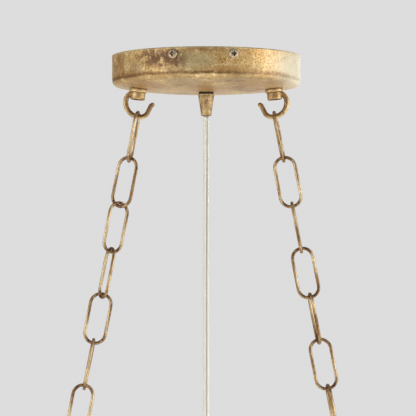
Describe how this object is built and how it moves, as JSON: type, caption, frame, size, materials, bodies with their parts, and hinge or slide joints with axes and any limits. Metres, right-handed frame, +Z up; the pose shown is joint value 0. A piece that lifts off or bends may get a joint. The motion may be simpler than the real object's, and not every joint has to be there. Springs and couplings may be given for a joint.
{
  "type": "oval candle chandelier",
  "caption": "Oval chandelier hung by two long-link chains and a straight flat cord from a shallow round ceiling canopy, in distressed antique gold.",
  "frame": {"origin": "centre of the canopy's rim in the ceiling plane, midway between the two box screws", "axes": "+Z up into the ceiling, +X along the oval and through both chain hooks, -Y towards the viewer"},
  "size_m": [0.7399, 0.3658, 0.6815],
  "materials": {
    "aged_gold": "distressed antique gold leaf over brown, satin",
    "zinc_steel": "zinc-plated steel",
    "bright_screw": "nickel-plated",
    "green_screw": "green-dyed zinc",
    "black_rubber": "matt rubber",
    "clear_cord": "clear jacket over tinned strands",
    "copper": "bare copper strands",
    "connector_plastic": "moulded plastic",
    "ivory_sleeve": "ivory candle sleeve",
    "holder_plastic": "black moulded lampholder",
    "bulb_glass": "clear candle lamp"
  },
  "bodies": {
    "ceiling_canopy": {"canopy_shell": "aged_gold", "mounting_plate": "zinc_steel", "canopy_side_screws": "bright_screw", "ground_screw": "green_screw", "left_collar": "aged_gold", "right_collar": "aged_gold", "left_hook": "aged_gold", "right_hook": "aged_gold", "hook_washers": "zinc_steel", "hook_nuts": "zinc_steel", "gland_washer": "black_rubber", "cord_gland": "aged_gold", "gland_nipple": "zinc_steel", "gland_locknut": "zinc_steel", "cord_tail": "clear_cord", "canopy_leads": "copper", "wire_connectors": "connector_plastic"},
    "upper_links": {"left_link_01": "aged_gold", "right_link_01": "aged_gold"},
    "left_chain": {"left_link_02": "aged_gold", "left_link_03": "aged_gold", "left_link_04": "aged_gold", "left_link_05": "aged_gold", "left_link_06": "aged_gold", "left_link_07": "aged_gold", "left_link_08": "aged_gold", "left_link_09": "aged_gold", "left_link_10": "aged_gold"},
    "right_chain": {"right_link_02": "aged_gold", "right_link_03": "aged_gold", "right_link_04": "aged_gold", "right_link_05": "aged_gold", "right_link_06": "aged_gold", "right_link_07": "aged_gold", "right_link_08": "aged_gold", "right_link_09": "aged_gold", "right_link_10": "aged_gold"},
    "hanging_cord": {"drop_cord": "clear_cord"},
    "lamp_frame": {"crossbar": "aged_gold", "left_eye_bolt": "aged_gold", "right_eye_bolt": "aged_gold", "eye_bolt_nuts": "aged_gold", "cord_bushing": "aged_gold", "column": "aged_gold", "hub": "aged_gold", "hub_bowl": "aged_gold", "finial": "aged_gold", "centre_tube": "zinc_steel", "oval_band": "aged_gold", "band_screws": "aged_gold", "drip_pans": "aged_gold", "lampholders": "holder_plastic", "candle_sleeves": "ivory_sleeve", "bulbs": "bulb_glass", "arm_1": "aged_gold", "arm_2": "aged_gold", "arm_3": "aged_gold", "arm_4": "aged_gold", "arm_5": "aged_gold", "arm_6": "aged_gold"}
  },
  "joints": [
    {"name": "fore_aft_swing", "type": "hinge", "parent": "ceiling_canopy", "child": "upper_links", "pos_m": [0, 0, -0.05455], "axis": [1, 0, 0], "range_deg": [-12, 12]},
    {"name": "side_sway", "type": "hinge", "parent": "upper_links", "child": "left_chain", "pos_m": [-0.06985, 0, -0.09475], "axis": [0, 1, 0], "range_deg": [-6, 6]},
    {"name": "right_chain_sway", "type": "hinge", "parent": "upper_links", "child": "right_chain", "pos_m": [0.06985, 0, -0.09475], "axis": [0, 1, 0], "range_deg": [-6.1, 6.1]},
    {"name": "frame_level", "type": "hinge", "parent": "left_chain", "child": "lamp_frame", "pos_m": [-0.14114, 0, -0.46322], "axis": [0, 1, 0], "range_deg": [-3.1, 3.1]},
    {"name": "cord_sway", "type": "hinge", "parent": "upper_links", "child": "hanging_cord", "pos_m": [0, 0, -0.05455], "axis": [0, 1, 0], "range_deg": [-5.6, 5.6]}
  ],
  "couplings": [
    {"joint": "right_chain_sway", "follows": "side_sway", "ratio": 1},
    {"joint": "frame_level", "follows": "side_sway", "ratio": -0.4949},
    {"joint": "cord_sway", "follows": "side_sway", "ratio": 0.90428}
  ]
}
